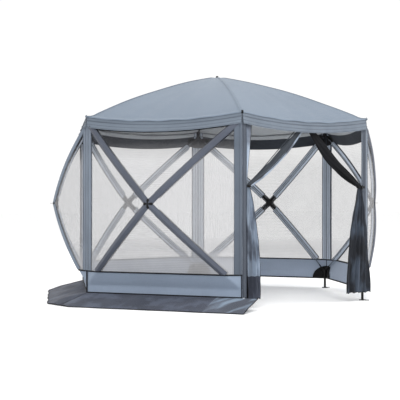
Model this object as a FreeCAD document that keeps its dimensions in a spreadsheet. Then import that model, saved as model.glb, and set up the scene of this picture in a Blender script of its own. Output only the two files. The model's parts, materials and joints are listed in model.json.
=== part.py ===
import FreeCAD, Part
import math
import os
import PartDesign
import Sketcher
from FreeCAD import Matrix, Placement, Rotation, Vector

# A hub-style pop-up screen house: a six-sided frame of bowed rods that folds at
# its hubs, corners and feet, with a canopy, mesh walls, a skirt and a doorway.
# Row frame: millimetres, +Z up, ground at z = 0, the doorway faces -Y.

doc = FreeCAD.newDocument("screen_house")

# ---------------------------------------------------------------- dimensions
DRIVING = {
    "frame_radius": 1700,      # centre line to a corner block
    "cloth_radius": 1732,      # centre line to a sewn corner
    "foot_pivot_z": 200,
    "top_pivot_z": 1905,
    "eave_z": 1965,
    "hem_z": 120,
    "band_top_z": 345,
    "eave_sag": 65,
    "valance_depth": 110,
    "inner_band_depth": 170,
    "lean_deg": 17.5,          # roof and wall rods against their hub's plane
    "hub_reach": 50,           # wall hub centre to its pins
    "corner_reach": 40,        # corner block centre to its wall rod pins
    "roof_ear_reach": 45,
    "roof_ear_rise": 58,
    "rod_radius": 5.5,
    "wall_rod_bow": 45,
    "roof_rod_bow": 48,
    "ferrule_radius": 8,
    "ferrule_end": 74,
    "tongue_radius": 9,
    "tongue_thick": 10,
    "ear_gap": 11,
    "ear_thick": 5,
    "ear_radius": 10,
    "pin_radius": 3,
    "pin_clearance": 0.05,
    "wall_hub_radius": 34,
    "wall_hub_thick": 22,
    "roof_hub_radius": 66,
    "roof_hub_thick": 26,
    "corner_radius": 20,
    "leg_radius": 14,
    "sole_radius": 38,
    "sole_thick": 8,
    "stake_hole_radius": 6,
    "stake_hole_reach": 62,    # outward from the leg, clear of the canopy's edge
    "stake_tab_radius": 14,
    "stake_tab_thick": 6,
    "cloth_thick": 1,
    "hub_cover": 26,
    "strip_width": 55,
    "sleeve_width": 65,
    "hub_patch_half": 52,
    "corner_patch_radius": 140,
    "flap_reach": 420,
    "flap_tongue": 170,        # past the doorway's left corner
    "flap_eyelet_radius": 14,
    "tie_z": 1228,
    "curtain_foot_z": 95,
    "strap_radius": 46,
    "strap_width": 25,
    "strap_thick": 2.5,
}
dims = doc.addObject("Spreadsheet::Sheet", "dims")
for row, (name, value) in enumerate(DRIVING.items(), start=1):
    dims.set("A%d" % row, name)
    dims.set("B%d" % row, str(value))
    dims.setAlias("B%d" % row, name)
doc.recompute()
D = {name: float(dims.get(name)) for name in DRIVING}

# Values worked out from the driving ones.
UP = Vector(0, 0, 1)
COS30 = math.cos(math.radians(30))
LEAN = math.radians(D["lean_deg"])
frame_side = D["frame_radius"]
frame_apothem = frame_side * COS30
cloth_apothem = D["cloth_radius"] * COS30
half_width = D["cloth_radius"] / 2
wall_rise = D["top_pivot_z"] - D["foot_pivot_z"]
hub_z = (D["top_pivot_z"] + D["foot_pivot_z"]) / 2
slant = math.atan2(wall_rise, frame_side)
half_diagonal = math.hypot(frame_side, wall_rise) / 2
reaches = D["hub_reach"] + D["corner_reach"]
wall_rod = (half_diagonal - reaches) / math.cos(LEAN)
push_out = wall_rod * math.sin(LEAN)
roof_rod = 2 * wall_rod * math.cos(slant)
roof_hub_reach = 2 * reaches * math.cos(slant) - D["roof_ear_reach"]
roof_ear_z = D["top_pivot_z"] + D["roof_ear_rise"]
roof_hub_z = roof_ear_z + roof_rod * math.sin(LEAN)

# Extents about the centre line, for a row origin in the middle of the footprint.
flap_far = cloth_apothem + D["flap_reach"]
extent_left = flap_far * COS30 + half_width / 2
extent_right = D["frame_radius"] + D["stake_hole_reach"] + D["stake_tab_radius"]
extent_front = flap_far / 2 + (half_width + D["flap_tongue"]) * COS30
extent_back = frame_apothem + push_out + D["hub_cover"] + 5.4
row_shift = Vector((extent_left - extent_right) / 2, (extent_front - extent_back) / 2, 0)

CORNERS = {"left": 180, "front_left": 240, "front_right": 300,
           "right": 0, "back_right": 60, "back_left": 120}
WALLS = {"front_left": 210, "back_left": 150, "back": 90,
         "back_right": 30, "front_right": 330}
DOOR = 270


# ------------------------------------------------------------------- helpers
def frame_of(x_axis, z_axis, origin):
    """Placement with the given x and z axes at origin."""
    y_axis = z_axis.cross(x_axis)
    m = Matrix(x_axis.x, y_axis.x, z_axis.x, origin.x,
               x_axis.y, y_axis.y, z_axis.y, origin.y,
               x_axis.z, y_axis.z, z_axis.z, origin.z,
               0, 0, 0, 1)
    return Placement(m)


def heading(degrees):
    a = math.radians(degrees)
    return Vector(math.cos(a), math.sin(a), 0)


def turned(degrees):
    """Placement of a master drawn facing +X, turned about the centre line."""
    return Placement(row_shift, Rotation(UP, degrees))


def primitive(kind, name, placement=None, **bound):
    obj = doc.addObject("Part::" + kind, name)
    for prop, expression in bound.items():
        obj.setExpression(prop, expression)
    if placement is not None:
        obj.Placement = placement
    return obj


def fused(name, shapes):
    obj = doc.addObject("Part::MultiFuse", name)
    obj.Shapes = shapes
    return obj


def cut(name, base, tool):
    obj = doc.addObject("Part::Cut", name)
    obj.Base = base
    obj.Tool = tool
    return obj


def compound(name, links, placement=None):
    obj = doc.addObject("Part::Compound", name)
    obj.Links = links
    if placement is not None:
        obj.Placement = placement
    return obj


nodes = {}


def node(name, links, placement=None):
    """One exported sub-part: its object carries the name and the placement."""
    obj = compound(name, links, placement)
    obj.Label = name
    nodes[name] = obj
    return obj


def around(name, master, angles):
    """One node holding a copy of the master on each wall."""
    copies = [compound("%s_%d" % (name, a), [master], Placement(Vector(), Rotation(UP, a)))
              for a in angles]
    return copies


# ---------------------------------------------------------------------- rods
def rod_master(name, length, bow):
    """Bowed rod with an eyed ferrule at each end.

    The first eye is at the origin, the second at (length, 0, 0), the pins run
    along Y and the rod bows towards +Z.
    """
    radius = (length ** 2 / 4 + bow ** 2) / (2 * bow)
    half = math.asin(length / 2 / radius)
    rod_half = half - 30 / radius
    start = math.pi / 2 + rod_half
    start_dir = Vector(math.cos(start), 0, math.sin(start))
    place = frame_of(start_dir, Vector(0, 1, 0), Vector(length / 2, 0, bow - radius))
    rod = primitive("Torus", name + "_rod", place, Radius2="dims.rod_radius")
    rod.Radius1 = radius
    rod.Angle3 = math.degrees(2 * rod_half)
    tangent = half - 22 / radius
    along = Vector(math.cos(tangent), 0, math.sin(tangent))
    across = Vector(-math.sin(tangent), 0, math.cos(tangent))
    eye = primitive("Cylinder", name + "_eye",
                    Placement(Vector(0, D["tongue_thick"] / 2, 0), Rotation(Vector(1, 0, 0), 90)),
                    Radius="dims.tongue_radius", Height="dims.tongue_thick")
    web = primitive("Box", name + "_web",
                    frame_of(along, across,
                             across * (-D["tongue_radius"] + 1) - Vector(0, D["tongue_thick"] / 2, 0)),
                    Width="dims.tongue_thick", Height="2 * dims.tongue_radius - 2")
    web.Length = 16
    barrel = primitive("Cylinder", name + "_barrel",
                       frame_of(across, along, along * 14),
                       Radius="dims.ferrule_radius", Height="dims.ferrule_end - 14")
    bore = primitive("Cylinder", name + "_bore",
                     Placement(Vector(0, 20, 0), Rotation(Vector(1, 0, 0), 90)),
                     Radius="dims.pin_radius + dims.pin_clearance")
    bore.Height = 40
    blank = fused(name + "_blank", [eye, web, barrel])
    tools = fused(name + "_tools", [bore, rod])
    ferrule = cut(name + "_ferrule", blank, tools)
    far = doc.addObject("Part::Mirroring", name + "_ferrule_far")
    far.Source = ferrule
    far.Normal = Vector(1, 0, 0)
    far.Base = Vector(length / 2, 0, 0)
    return [rod, ferrule, far]


# ------------------------------------------------------------ fork and block
def fork(name, placement, reach, root):
    """Two ears and a pin: reach is centre to pin, the ears face +X, pin on Y."""
    width = "(dims.ear_gap + 2 * dims.ear_thick)"
    full = D["ear_gap"] + 2 * D["ear_thick"]
    r = D["ear_radius"]
    base = placement.multiply(Placement(Vector(root, -full / 2, -r), Rotation()))
    plate = primitive("Box", name + "_plate", base, Width=width, Height="2 * dims.ear_radius")
    plate.Length = reach - root
    spin = Rotation(Vector(1, 0, 0), 90)
    tip = primitive("Cylinder", name + "_tip",
                    placement.multiply(Placement(Vector(reach, full / 2, 0), spin)),
                    Radius="dims.ear_radius", Height=width)
    gap = primitive("Box", name + "_gap",
                    placement.multiply(Placement(Vector(reach - 12, -D["ear_gap"] / 2, -2 * r),
                                                 Rotation())),
                    Width="dims.ear_gap", Height="4 * dims.ear_radius")
    gap.Length = 40
    pin = primitive("Cylinder", name + "_pin",
                    placement.multiply(Placement(Vector(reach, full / 2 + 1.5, 0), spin)),
                    Radius="dims.pin_radius", Height=width + " + 3")
    ears = cut(name + "_ears", fused(name + "_solid", [plate, tip]),
               fused(name + "_void", [gap, pin]))
    return ears, pin


def block(name, cores, forks):
    """A moulded block: cores and ears in one solid, the pins beside it."""
    made = [fork("%s_fork_%d" % (name, i), *spec) for i, spec in enumerate(forks)]
    body = fused(name + "_body", cores + [ears for ears, pin in made])
    return [body] + [pin for ears, pin in made]


def wall_fork(side, rise):
    """Fork of a corner block for one adjoining wall, side +1 or -1, rise +1 up."""
    normal = heading(30 * side)
    along = heading(120 * side) * math.cos(slant) + UP * (rise * math.sin(slant))
    return (frame_of(along, normal, Vector()), D["corner_reach"], 8)


def corner_master(name, sides):
    core = primitive("Cylinder", name + "_core",
                     Placement(Vector(0, 0, -22), Rotation()), Radius="dims.corner_radius")
    core.Height = 22 + D["roof_ear_rise"] + 1
    roof_fork = (frame_of(Vector(-1, 0, 0), UP, Vector(0, 0, D["roof_ear_rise"])),
                 D["roof_ear_reach"], 8)
    return block(name, [core], [roof_fork] + [wall_fork(s, -1) for s in sides])


def foot_master(name, sides):
    low = -D["foot_pivot_z"]
    reach = D["stake_hole_reach"]
    socket = primitive("Cylinder", name + "_socket", Placement(Vector(0, 0, -26), Rotation()),
                       Radius="dims.corner_radius")
    socket.Height = 48
    leg = primitive("Cylinder", name + "_leg", Placement(Vector(0, 0, low), Rotation()),
                    Radius="dims.leg_radius", Height="dims.foot_pivot_z - 20")
    sole = primitive("Cylinder", name + "_sole", Placement(Vector(0, 0, low), Rotation()),
                     Radius="dims.sole_radius", Height="dims.sole_thick")
    tab = primitive("Box", name + "_tab",
                    Placement(Vector(0, -D["stake_tab_radius"], low), Rotation()),
                    Length="dims.stake_hole_reach", Width="2 * dims.stake_tab_radius",
                    Height="dims.stake_tab_thick")
    end = primitive("Cylinder", name + "_tab_end", Placement(Vector(reach, 0, low), Rotation()),
                    Radius="dims.stake_tab_radius", Height="dims.stake_tab_thick")
    hole = primitive("Cylinder", name + "_stake_hole",
                     Placement(Vector(reach, 0, low - 5), Rotation()),
                     Radius="dims.stake_hole_radius")
    hole.Height = 20
    solids = block(name, [socket, leg, sole, tab, end], [wall_fork(s, 1) for s in sides])
    return [cut(name + "_drilled", solids[0], hole)] + solids[1:]


def wall_hub_master(name):
    core = primitive("Cylinder", name + "_core", Radius="dims.wall_hub_radius",
                     Height="dims.wall_hub_thick",
                     placement=frame_of(UP, Vector(1, 0, 0),
                                        Vector(-D["wall_hub_thick"] / 2, 0, 0)))
    forks = []
    for across, rise in ((1, 1), (-1, 1), (-1, -1), (1, -1)):
        along = Vector(0, across * math.cos(slant), rise * math.sin(slant))
        forks.append((frame_of(along, Vector(1, 0, 0), Vector()), D["hub_reach"], 20))
    return block(name, [core], forks)


def rectangle(sketch, x0, y0, x1, y1):
    points = [Vector(x0, y0, 0), Vector(x1, y0, 0), Vector(x1, y1, 0), Vector(x0, y1, 0)]
    for i in range(4):
        sketch.addGeometry(Part.LineSegment(points[i], points[(i + 1) % 4]), False)
    for i in range(4):
        sketch.addConstraint(Sketcher.Constraint("Coincident", i, 2, (i + 1) % 4, 1))


def roof_hub_body():
    """Roof hub: a turned disc with six patterned forks, as one design body."""
    body = doc.addObject("PartDesign::Body", "roof_hub_moulding")
    xy = body.Origin.OriginFeatures[3]
    xz = body.Origin.OriginFeatures[4]
    disc_sketch = body.newObject("Sketcher::SketchObject", "roof_hub_disc_sketch")
    disc_sketch.AttachmentSupport = [(xy, "")]
    disc_sketch.MapMode = "FlatFace"
    disc_sketch.addGeometry(Part.Circle(Vector(), UP, D["roof_hub_radius"]), False)
    disc_sketch.addConstraint(Sketcher.Constraint("Coincident", 0, 3, -1, 1))
    disc_sketch.addConstraint(Sketcher.Constraint("Radius", 0, D["roof_hub_radius"]))
    disc_sketch.setExpression("Constraints[1]", "dims.roof_hub_radius")
    disc = body.newObject("PartDesign::Pad", "roof_hub_disc")
    disc.Profile = disc_sketch
    disc.setExpression("Length", "dims.roof_hub_thick")
    disc.Midplane = True
    r = D["ear_radius"]
    ear_sketch = body.newObject("Sketcher::SketchObject", "roof_hub_ear_sketch")
    ear_sketch.AttachmentSupport = [(xz, "")]
    ear_sketch.MapMode = "FlatFace"
    a = Vector(45, -r, 0)
    b = Vector(roof_hub_reach, -r, 0)
    c = Vector(roof_hub_reach + r, 0, 0)
    d = Vector(roof_hub_reach, r, 0)
    e = Vector(45, r, 0)
    ear_sketch.addGeometry(Part.LineSegment(a, b), False)
    ear_sketch.addGeometry(Part.Arc(b, c, d), False)
    ear_sketch.addGeometry(Part.LineSegment(d, e), False)
    ear_sketch.addGeometry(Part.LineSegment(e, a), False)
    ear = body.newObject("PartDesign::Pad", "roof_hub_ear")
    ear.Profile = ear_sketch
    ear.setExpression("Length", "dims.ear_gap + 2 * dims.ear_thick")
    ear.Midplane = True
    gap_sketch = body.newObject("Sketcher::SketchObject", "roof_hub_gap_sketch")
    gap_sketch.AttachmentSupport = [(xz, "")]
    gap_sketch.MapMode = "FlatFace"
    rectangle(gap_sketch, roof_hub_reach - 12, -20, roof_hub_reach + 30, 20)
    gap = body.newObject("PartDesign::Pocket", "roof_hub_gap")
    gap.Profile = gap_sketch
    gap.setExpression("Length", "dims.ear_gap")
    gap.Midplane = True
    bore_sketch = body.newObject("Sketcher::SketchObject", "roof_hub_bore_sketch")
    bore_sketch.AttachmentSupport = [(xz, "")]
    bore_sketch.MapMode = "FlatFace"
    bore_sketch.addGeometry(Part.Circle(Vector(roof_hub_reach, 0, 0), UP, D["pin_radius"]), False)
    bore_sketch.addConstraint(Sketcher.Constraint("Radius", 0, D["pin_radius"]))
    bore_sketch.setExpression("Constraints[0]", "dims.pin_radius")
    bore = body.newObject("PartDesign::Pocket", "roof_hub_bore")
    bore.Profile = bore_sketch
    bore.Length = 60
    bore.Midplane = True
    ring = body.newObject("PartDesign::PolarPattern", "roof_hub_forks")
    ring.Originals = [ear, gap, bore]
    ring.Axis = (disc_sketch, ["N_Axis"])
    ring.Angle = 360
    ring.Occurrences = 6
    body.Tip = ring
    doc.recompute()
    return body


def roof_pin(angle):
    full = D["ear_gap"] + 2 * D["ear_thick"] + 3
    fork_frame = frame_of(heading(angle), UP, Vector())
    place = fork_frame.multiply(Placement(Vector(roof_hub_reach, full / 2, 0),
                                          Rotation(Vector(1, 0, 0), 90)))
    return primitive("Cylinder", "roof_hub_pin_%d" % angle, place, Radius="dims.pin_radius",
                     Height="dims.ear_gap + 2 * dims.ear_thick + 3")


# --------------------------------------------------------------------- frame
node("roof_hub", [roof_hub_body()] + [roof_pin(a) for a in range(0, 360, 60)],
     Placement(row_shift + UP * roof_hub_z, Rotation()))

roof_rod_solids = rod_master("roof_rod", roof_rod, D["roof_rod_bow"])
wall_rod_solids = rod_master("wall_rod", wall_rod, D["wall_rod_bow"])
wall_hub_solids = wall_hub_master("wall_hub")
corner_solids = {"both": corner_master("corner_both", (1, -1)),
                 "front_left": corner_master("corner_first", (-1,)),
                 "front_right": corner_master("corner_last", (1,))}
foot_solids = {"both": foot_master("foot_both", (1, -1)),
               "front_left": foot_master("foot_first", (-1,)),
               "front_right": foot_master("foot_last", (1,))}

for corner, angle in CORNERS.items():
    out = heading(angle)
    start = row_shift + out * roof_hub_reach + UP * roof_hub_z
    along = out * math.cos(LEAN) - UP * math.sin(LEAN)
    above = UP * math.cos(LEAN) + out * math.sin(LEAN)
    node("roof_pole_" + corner, roof_rod_solids, frame_of(along, above, start))
    spot = row_shift + out * frame_side
    node("top_corner_" + corner, corner_solids.get(corner, corner_solids["both"]),
         frame_of(out, UP, spot + UP * D["top_pivot_z"]))
    node("foot_" + corner, foot_solids.get(corner, foot_solids["both"]),
         frame_of(out, UP, spot + UP * D["foot_pivot_z"]))

for wall, angle in WALLS.items():
    out = heading(angle)
    right = UP.cross(out)
    centre = row_shift + out * (frame_apothem + push_out) + UP * hub_z
    node("wall_hub_" + wall, wall_hub_solids, frame_of(out, UP, centre))
    for tag, across, rise in (("upper_left", -1, 1), ("upper_right", 1, 1),
                              ("lower_left", -1, -1), ("lower_right", 1, -1)):
        reach = right * (across * math.cos(slant)) + UP * (rise * math.sin(slant))
        along = reach * math.cos(LEAN) - out * math.sin(LEAN)
        above = out * math.cos(LEAN) + reach * math.sin(LEAN)
        node("wall_pole_%s_%s" % (wall, tag), wall_rod_solids,
             frame_of(along, above, centre + reach * D["hub_reach"]))


# --------------------------------------------------------------------- cloth
# Each wall's cloth is drawn facing +X: x outward, y to the right, z up. The
# rods push it out to a four-sided peak over the hub; the layers sewn on it lie
# at small offsets along the wall's normal.
def shape_master(name, shape):
    obj = doc.addObject("Part::Feature", name)
    obj.Shape = shape
    return obj


def curve(points):
    spline = Part.BSplineCurve()
    spline.interpolate(points)
    return spline.toShape()


cloth_push = frame_apothem + push_out + D["hub_cover"] - cloth_apothem


def crease(across, rise, offset):
    """Sewn line over one rod, from beside the hub out to the corner."""
    end_z = D["top_pivot_z"] if rise > 0 else D["foot_pivot_z"]
    points = []
    for i in range(9):
        s = 0.985 * (1 - i / 8)
        out = cloth_apothem + offset + cloth_push * s + 4 * D["wall_rod_bow"] * s * (1 - s)
        points.append(Vector(out, across * half_width * (1 - s), end_z + (hub_z - end_z) * s))
    return curve(points)


def wall_facets(offset, peaked=True):
    """Solids of one wall's cloth at an offset: four facets and two flat margins."""
    t = Vector(D["cloth_thick"], 0, 0)
    x = cloth_apothem + offset
    flat = []
    bands = [(D["hem_z"], D["foot_pivot_z"]), (D["top_pivot_z"], D["eave_z"])]
    if not peaked:
        bands = [(D["hem_z"], D["eave_z"])]
    for low, high in bands:
        ring = [Vector(x, -half_width, low), Vector(x, half_width, low),
                Vector(x, half_width, high), Vector(x, -half_width, high),
                Vector(x, -half_width, low)]
        flat.append(Part.Face(Part.makePolygon(ring)).extrude(t))
    if not peaked:
        return flat
    turns = [(-1, 1), (1, 1), (1, -1), (-1, -1)]
    lines = [crease(a, r, offset) for a, r in turns]
    facets = [Part.makeRuledSurface(lines[i], lines[(i + 1) % 4]).extrude(t) for i in range(4)]
    return facets + flat


def prism(outline):
    """Cutting block: an outline of (y, z) points drawn through the whole wall."""
    ring = [Vector(cloth_apothem - 300, y, z) for y, z in outline]
    return Part.Face(Part.makePolygon(ring + ring[:1])).extrude(Vector(1200, 0, 0))


def disc(y, z, radius):
    return Part.makeCylinder(radius, 1200, Vector(cloth_apothem - 300, y, z), Vector(1, 0, 0))


def eave_line(drop):
    """Points along the sagging eave, lowered by drop, left to right."""
    points = []
    for i in range(17):
        v = -1 + i / 8
        points.append((v * (half_width + 1), D["eave_z"] - D["eave_sag"] * (1 - v * v) - drop))
    return points


def slice_of(solids, tool):
    pieces = []
    for solid in solids:
        pieces += [s for s in solid.common(tool).Solids if s.Volume > 50]
    return pieces


wide = half_width + 1
under_eave = eave_line(4)
valance_low = eave_line(D["valance_depth"])
inner_low = eave_line(D["inner_band_depth"])
mesh_tool = prism([(-wide, D["band_top_z"]), (wide, D["band_top_z"])] + inner_low[::-1])
inner_tool = prism(inner_low + under_eave[::-1])
valance_tool = prism(valance_low + under_eave[::-1])
band_tool = prism([(-wide, D["hem_z"]), (wide, D["hem_z"]),
                   (wide, D["band_top_z"]), (-wide, D["band_top_z"])])

base_facets = wall_facets(0)
screen = shape_master("screen_cloth", Part.makeCompound(slice_of(base_facets, mesh_tool)))
band = shape_master("band_cloth", Part.makeCompound(slice_of(base_facets, band_tool)))
inner = slice_of(base_facets, inner_tool)
valance = slice_of(wall_facets(8), valance_tool)
door_valance = slice_of(wall_facets(8, peaked=False), valance_tool)
eave_cloth = shape_master("eave_cloth", Part.makeCompound(inner + valance))
door_eave_cloth = shape_master("door_eave_cloth", Part.makeCompound(door_valance))

w = D["strip_width"]
strip_tools = [prism([(s * (half_width + 1), D["hem_z"]), (s * (half_width - w), D["hem_z"]),
                      (s * (half_width - w), D["eave_z"] - 25),
                      (s * (half_width + 1), D["eave_z"] - 25)]) for s in (-1, 1)]
strip_facets = wall_facets(2)
door_facets = wall_facets(2, peaked=False)
strips = slice_of(strip_facets, strip_tools[0]) + slice_of(strip_facets, strip_tools[1])
door_strips = slice_of(door_facets, strip_tools[0]) + slice_of(door_facets, strip_tools[1])
strip_cloth = shape_master("strip_cloth", Part.makeCompound(strips))
door_strip_cloth = shape_master("door_strip_cloth", Part.makeCompound(door_strips))

sleeve_facets = wall_facets(4)
sleeve_zone = prism([(-wide, D["band_top_z"] + 2), (wide, D["band_top_z"] + 2),
                     (wide, D["eave_z"] - D["valance_depth"] + 5),
                     (-wide, D["eave_z"] - D["valance_depth"] + 5)])
sleeves = []
for across, rise in ((1, 1), (-1, 1), (-1, -1), (1, -1)):
    along = Vector(0, across * half_width, rise * wall_rise / 2).normalize()
    side = Vector(0, -along.z, along.y) * (D["sleeve_width"] / 2)
    ends = [along * 55, along * (half_diagonal + 20)]
    corners = [ends[0] - side, ends[1] - side, ends[1] + side, ends[0] + side]
    tool = prism([(p.y, p.z + hub_z) for p in corners]).common(sleeve_zone)
    sleeves += slice_of(sleeve_facets, tool)
sleeve_cloth = shape_master("sleeve_cloth", Part.makeCompound(sleeves))

patch_facets = wall_facets(-4)
hub_facets = wall_facets(7)
half = D["hub_patch_half"]
patches = slice_of(hub_facets, prism([(half, hub_z), (0, hub_z + half),
                                      (-half, hub_z), (0, hub_z - half)]))
below_eave = prism([(-wide, D["hem_z"] - 5), (wide, D["hem_z"] - 5)] + eave_line(9)[::-1])
for s in (-1, 1):
    patches += slice_of(patch_facets, disc(s * half_width, D["hem_z"], D["corner_patch_radius"]))
    top_patch = disc(s * half_width, D["eave_z"] - 20, D["corner_patch_radius"] - 20)
    patches += slice_of(patch_facets, top_patch.common(below_eave))
patch_cloth = shape_master("patch_cloth", Part.makeCompound(patches))


def flap(corner_side, tongue):
    """Ground flap of one wall, sloping from under the hem to the ground.

    corner_side is the side, -1 or 1, with a gusset shared with the next flap; at
    the other side the flap ends square, tongue past the wall's corner.
    """
    c = corner_side
    near = cloth_apothem + 2
    top = D["hem_z"] - 3
    sewn = Vector(near, c * half_width, top)
    fold = Vector(flap_far, c * half_width, 0)
    ridge = extent_left * Vector(COS30, c / 2, 0)
    square = -c * (half_width + tongue)
    sheet = [sewn, fold, Vector(flap_far, square, 0), Vector(near, square, top), sewn]
    gusset = [sewn, ridge, fold, sewn]
    up = Vector(0, 0, D["cloth_thick"])
    made = [Part.Face(Part.makePolygon(ring)).extrude(up) for ring in (sheet, gusset)]
    cloth = made[0].fuse(made[1])
    for side in (-1, 1):
        hole = (D["frame_radius"] + D["stake_hole_reach"]) * Vector(COS30, side / 2, 0)
        cloth = cloth.cut(Part.makeCylinder(D["flap_eyelet_radius"], 200, hole - UP * 20, UP))
    return cloth.removeSplitter()


def gore():
    """One canopy gore between two roof rods, sagging at the eave."""
    rows = []
    cover = 24
    rim = D["cloth_radius"] + 14
    top = roof_hub_z + D["roof_hub_thick"] / 2 + 8
    chord = D["frame_radius"] - D["roof_ear_reach"] - roof_hub_reach
    radii = [14, 60, 130, 300, 520, 760, 1000, 1240, 1460, 1640, rim]
    for r in radii:
        s = (r - roof_hub_reach) / chord
        pole_z = roof_hub_z - s * chord * math.tan(LEAN)
        pole_z += 4 * D["roof_rod_bow"] * max(0, s * (1 - s)) / math.cos(LEAN)
        z = min(top, pole_z + cover)
        if r == rim:
            z = D["eave_z"] + 6
        t = r / rim
        row = []
        for j in range(9):
            v = -1 + j / 4
            dip = D["eave_sag"] * t * t * (1 - v * v)
            bulge = 30 * t ** 4 * (1 - v * v)
            row.append(Vector(r * COS30 + bulge, v * r / 2, z - dip))
        rows.append(row)
    surface = Part.BSplineSurface()
    surface.interpolate(rows)
    return surface.toShape().extrude(Vector(0, 0, D["cloth_thick"]))


gore_cloth = shape_master("gore_cloth", gore())
front_flap = shape_master("front_flap_cloth", flap(-1, D["flap_tongue"]))
back_flap = shape_master("back_flap_cloth", flap(1, 0))

node("canopy", around("gore", gore_cloth, range(30, 390, 60)), Placement(row_shift, Rotation()))
node("eave_bands", around("eave", eave_cloth, WALLS.values())
     + around("door_eave", door_eave_cloth, [DOOR]), Placement(row_shift, Rotation()))
for wall, angle in WALLS.items():
    node("screen_" + wall, [screen], turned(angle))
node("skirt_bands", around("band", band, WALLS.values()), Placement(row_shift, Rotation()))
node("ground_flaps", around("front_flap", front_flap, [WALLS["front_left"]])
     + around("back_flap", back_flap, [WALLS["back_left"]]), Placement(row_shift, Rotation()))
node("corner_strips", around("strip", strip_cloth, WALLS.values())
     + around("door_strip", door_strip_cloth, [DOOR]), Placement(row_shift, Rotation()))
node("pole_sleeves", around("sleeve", sleeve_cloth, WALLS.values()),
     Placement(row_shift, Rotation()))
node("reinforcing_patches", around("patch", patch_cloth, WALLS.values()),
     Placement(row_shift, Rotation()))


# ------------------------------------------------------------------- doorway
# Each curtain is rolled from the middle of the eave to its tie, and hangs from
# there. The right one hangs outside its corner strip, the left one inside.
TIES = {"left": {"side": -1, "out": -25, "across": 775, "hang_out": -28,
                 "hang_across": 742, "hang_half": 70},
        "right": {"side": 1, "out": 12, "across": 769, "hang_out": 48,
                  "hang_across": 694, "hang_half": 164}}


def ellipse_at(name, placement, major, minor):
    ring = primitive("Ellipse", name, placement)
    ring.MajorRadius = major
    ring.MinorRadius = minor
    return ring


def curtain(name, side, out, across, hang_out, hang_across, hang_half):
    start = Vector(cloth_apothem - 14, side * 26, D["eave_z"] - 118)
    end = Vector(cloth_apothem + out, side * across, D["tie_z"] - 4)
    line = (end - start).normalize()
    level = Vector(1, 0, 0)
    rolls = []
    for i in range(5):
        t = i / 4
        swell = math.sin(math.pi * t)
        spot = start + (end - start) * t - UP * (55 * swell)
        place = frame_of(line.cross(level).normalize(), line, spot)
        rolls.append(ellipse_at("%s_roll_%d" % (name, i), place, 20 + 30 * swell, 13 + 9 * swell))
    drops = []
    for i in range(5):
        t = i / 4
        ease = math.sin(math.pi * t / 2)
        spot = Vector(cloth_apothem + out + (hang_out - out) * ease,
                      side * (across + (hang_across - across) * ease),
                      D["tie_z"] + 4 + (D["curtain_foot_z"] - D["tie_z"] - 4) * t)
        drops.append(ellipse_at("%s_drop_%d" % (name, i), Placement(spot, Rotation(UP, 90)),
                                22 + (hang_half - 22) * ease, 15 + 19 * ease))
    lofts = []
    for kind, rings in (("roll", rolls), ("drop", drops)):
        loft = doc.addObject("Part::Loft", "%s_%s_loft" % (name, kind))
        loft.Sections = rings
        loft.Solid = True
        lofts.append(loft)
    return fused(name + "_curtain", lofts)


def tie_back(name, side, out, across):
    """Webbing loop round the gathered curtain, with a toggle and a corner strap."""
    outer = Part.Ellipse(Vector(), 40, 31).toShape()
    inner = Part.Ellipse(Vector(), 37, 28).toShape()
    ring = Part.Face(Part.Wire(outer)).cut(Part.Face(Part.Wire(inner))).extrude(Vector(0, 0, 24))
    low = D["tie_z"] - 34
    ring.Placement = Placement(Vector(cloth_apothem + out, side * across, low), Rotation(UP, 90))
    toggle = Part.makeCylinder(5, 42, Vector(cloth_apothem + out + 34, side * across, low - 9), UP)
    strap = Part.makeBox(2, 32, 24, Vector(cloth_apothem + out - 1,
                                           side * (across + 54) - 16, low))
    return shape_master(name, ring.fuse([toggle, strap]).removeSplitter())


for name, spec in TIES.items():
    node("door_curtain_" + name, [curtain(name, **spec)], turned(DOOR))
node("tie_backs", [tie_back(name + "_tie", spec["side"], spec["out"], spec["across"])
                   for name, spec in TIES.items()], turned(DOOR))

# Pull strap standing on a round patch at the peak.
arch_place = frame_of(Vector(0, 1, 0), Vector(1, 0, 0), Vector(-D["strap_width"] / 2, 0, -22))
arch_outer = primitive("Cylinder", "strap_outer", arch_place, Radius="dims.strap_radius",
                       Height="dims.strap_width")
arch_inner = primitive("Cylinder", "strap_inner", arch_place,
                       Radius="dims.strap_radius - dims.strap_thick", Height="dims.strap_width")
ground_cut = primitive("Box", "strap_trim", Placement(Vector(-60, -60, -80), Rotation()))
ground_cut.Length = 120
ground_cut.Width = 120
ground_cut.Height = 80
arch = cut("strap_arch", cut("strap_ring", arch_outer, arch_inner), ground_cut)
patch_disc = primitive("Cylinder", "peak_patch", Height="dims.strap_thick")
patch_disc.Radius = 55
strap_all = fused("strap_sewn", [arch, patch_disc])
strap_z = roof_hub_z + D["roof_hub_thick"] / 2 + 8 + D["cloth_thick"] + 1.5
node("roof_pull_strap", [strap_all], Placement(row_shift + UP * strap_z, Rotation(UP, 36)))

doc.recompute()

# -------------------------------------------------------------------- export
for obj in doc.Objects:
    if "Invalid" in obj.State or "Error" in obj.State:
        raise RuntimeError("%s did not compute: %s" % (obj.Name, obj.State))
os.makedirs("parts", exist_ok=True)
for name, obj in nodes.items():
    shape = obj.Shape
    if shape.isNull() or not shape.isValid() or not shape.Solids:
        raise RuntimeError("%s has no valid solid" % name)
    shape.exportStep("parts/%s.step" % name)
print("%d nodes written" % len(nodes))
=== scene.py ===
import json
import math
import bmesh
import bpy
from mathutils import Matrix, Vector, noise

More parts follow.
